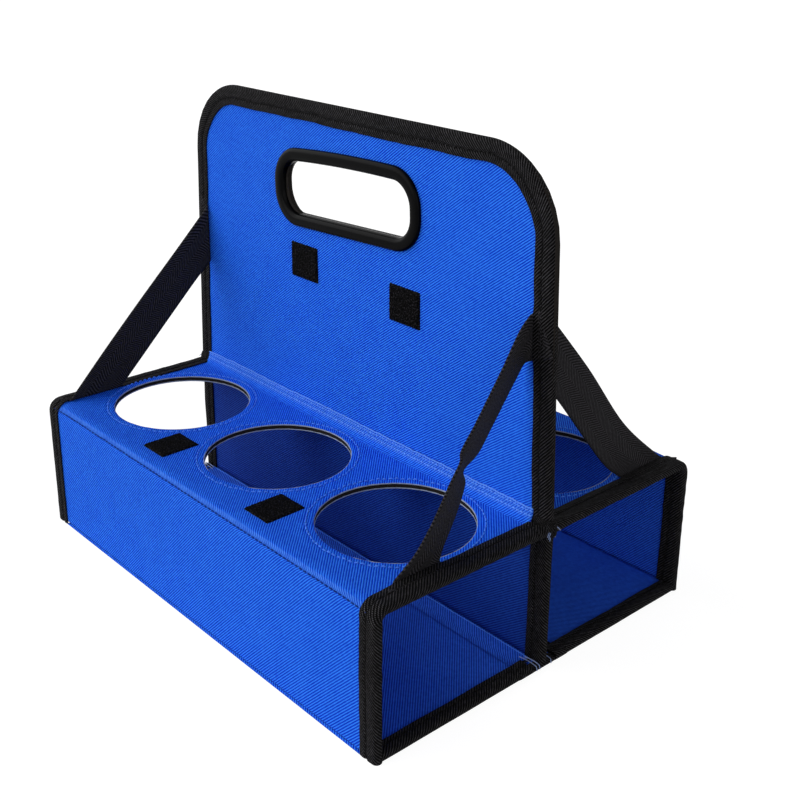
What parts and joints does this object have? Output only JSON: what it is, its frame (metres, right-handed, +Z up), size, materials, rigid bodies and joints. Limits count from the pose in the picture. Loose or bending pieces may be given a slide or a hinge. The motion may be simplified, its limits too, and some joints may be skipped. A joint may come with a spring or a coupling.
{
  "type": "drink carrier",
  "caption": "Fabric-covered folding drink carrier: a tall centre panel with a hand hole, cup decks on both sides, long walls and floors that swing up flat against the panel.",
  "frame": {"origin": "on the ground under the middle of the open carrier", "axes": "+X along the carrier to its right end, +Y to its rear wall, +Z up"},
  "size_m": [0.32, 0.2358, 0.276],
  "materials": {
    "blue_twill": "dull twill weave",
    "blue_lining": "dull plain weave",
    "black_tape": "ribbed binding tape",
    "black_webbing": "woven webbing",
    "hook_and_loop": "hook-and-loop pile",
    "handle_plastic": "moulded, semi-gloss",
    "core_board": "raw black board"
  },
  "bodies": {
    "centre": {"panel_board": "core_board", "panel_cover_front": "blue_twill", "panel_cover_rear": "blue_twill", "panel_tape": "black_tape", "divider_tape_left": "black_tape", "divider_tape_right": "black_tape", "floor_gutter": "blue_lining", "handle_front": "handle_plastic", "handle_rear": "handle_plastic", "front_deck_seam": "blue_twill", "front_panel_hook_right": "hook_and_loop", "front_panel_hook_left": "hook_and_loop", "front_strap_left": "black_webbing", "front_strap_right": "black_webbing", "rear_deck_seam": "blue_twill", "rear_panel_hook_right": "hook_and_loop", "rear_panel_hook_left": "hook_and_loop", "rear_strap_left": "black_webbing", "rear_strap_right": "black_webbing"},
    "front_deck": {"front_deck_lining": "blue_lining", "front_deck_board": "core_board", "front_deck_cover": "blue_twill", "front_deck_tape_left": "black_tape", "front_deck_tape_right": "black_tape", "front_deck_loop_right": "hook_and_loop", "front_deck_loop_left": "hook_and_loop"},
    "front_wall": {"front_corner_roll": "blue_twill", "front_corner_tape_left": "black_tape", "front_corner_tape_right": "black_tape", "front_wall_lining": "blue_lining", "front_wall_board": "core_board", "front_wall_cover": "blue_twill", "front_wall_tape_left": "black_tape", "front_wall_tape_right": "black_tape"},
    "front_floor": {"front_floor_cover": "blue_twill", "front_floor_board": "core_board", "front_floor_lining": "blue_lining", "front_floor_tape_left": "black_tape", "front_floor_tape_right": "black_tape"},
    "rear_deck": {"rear_deck_lining": "blue_lining", "rear_deck_board": "core_board", "rear_deck_cover": "blue_twill", "rear_deck_tape_left": "black_tape", "rear_deck_tape_right": "black_tape", "rear_deck_loop_right": "hook_and_loop", "rear_deck_loop_left": "hook_and_loop"},
    "rear_wall": {"rear_corner_roll": "blue_twill", "rear_corner_tape_left": "black_tape", "rear_corner_tape_right": "black_tape", "rear_wall_lining": "blue_lining", "rear_wall_board": "core_board", "rear_wall_cover": "blue_twill", "rear_wall_tape_left": "black_tape", "rear_wall_tape_right": "black_tape"},
    "rear_floor": {"rear_floor_cover": "blue_twill", "rear_floor_board": "core_board", "rear_floor_lining": "blue_lining", "rear_floor_tape_left": "black_tape", "rear_floor_tape_right": "black_tape"}
  },
  "joints": [
    {"name": "front_deck_fold", "type": "hinge", "parent": "centre", "child": "front_deck", "pos_m": [0, -0.0053, 0.084], "axis": [-1, 0, 0], "range_deg": [0, 90], "deforming": ["front_strap_left", "front_strap_right"]},
    {"name": "front_wall_fold", "type": "hinge", "parent": "front_deck", "child": "front_wall", "pos_m": [0, -0.1074, 0.084], "axis": [1, 0, 0], "range_deg": [0, 90], "deforming": ["front_corner_roll", "front_corner_tape_left", "front_corner_tape_right"]},
    {"name": "front_floor_fold", "type": "hinge", "parent": "centre", "child": "front_floor", "pos_m": [0, -0.0149, 0], "axis": [-1, 0, 0], "range_deg": [0, 90]},
    {"name": "rear_deck_fold", "type": "hinge", "parent": "centre", "child": "rear_deck", "pos_m": [0, 0.0053, 0.084], "axis": [1, 0, 0], "range_deg": [0, 90], "deforming": ["rear_strap_left", "rear_strap_right"]},
    {"name": "rear_wall_fold", "type": "hinge", "parent": "rear_deck", "child": "rear_wall", "pos_m": [0, 0.1074, 0.084], "axis": [-1, 0, 0], "range_deg": [0, 90], "deforming": ["rear_corner_roll", "rear_corner_tape_left", "rear_corner_tape_right"]},
    {"name": "rear_floor_fold", "type": "hinge", "parent": "centre", "child": "rear_floor", "pos_m": [0, 0.0149, 0], "axis": [1, 0, 0], "range_deg": [0, 90]}
  ],
  "couplings": [
    {"joint": "front_wall_fold", "follows": "front_deck_fold", "ratio": 1},
    {"joint": "front_floor_fold", "follows": "front_deck_fold", "ratio": 1},
    {"joint": "rear_wall_fold", "follows": "rear_deck_fold", "ratio": 1},
    {"joint": "rear_floor_fold", "follows": "rear_deck_fold", "ratio": 1}
  ]
}
